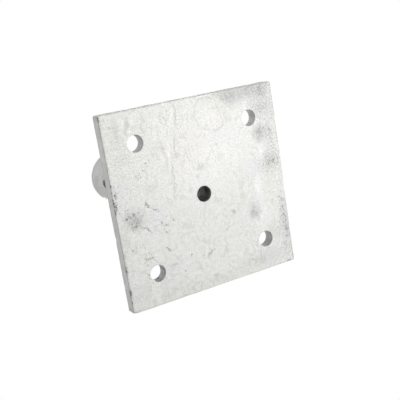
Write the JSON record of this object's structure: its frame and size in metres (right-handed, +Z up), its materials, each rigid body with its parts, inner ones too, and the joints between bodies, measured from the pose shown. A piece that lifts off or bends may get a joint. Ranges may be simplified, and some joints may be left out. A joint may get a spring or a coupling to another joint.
{
  "type": "sign post floor anchor",
  "caption": "Square galvanised steel base plate with an upright tube socket welded on it, bolted to a floor to hold a round sign post.",
  "frame": {"origin": "centre of the plate's underside, on the floor", "axes": "+Z up along the tube, X along the cross-bolt hole, X and Y along the plate's sides"},
  "size_m": [0.15, 0.15, 0.175],
  "materials": {
    "plate_zinc": "hot-dip galvanised steel plate, matt pale grey with a fine mottle",
    "tube_zinc": "hot-dip galvanised steel tube, matt grey",
    "weld_zinc": "hot-dip galvanised weld bead, matt grey"
  },
  "bodies": {
    "root": {"base_plate": "plate_zinc", "socket_tube": "tube_zinc", "fillet_weld": "weld_zinc"}
  },
  "joints": []
}
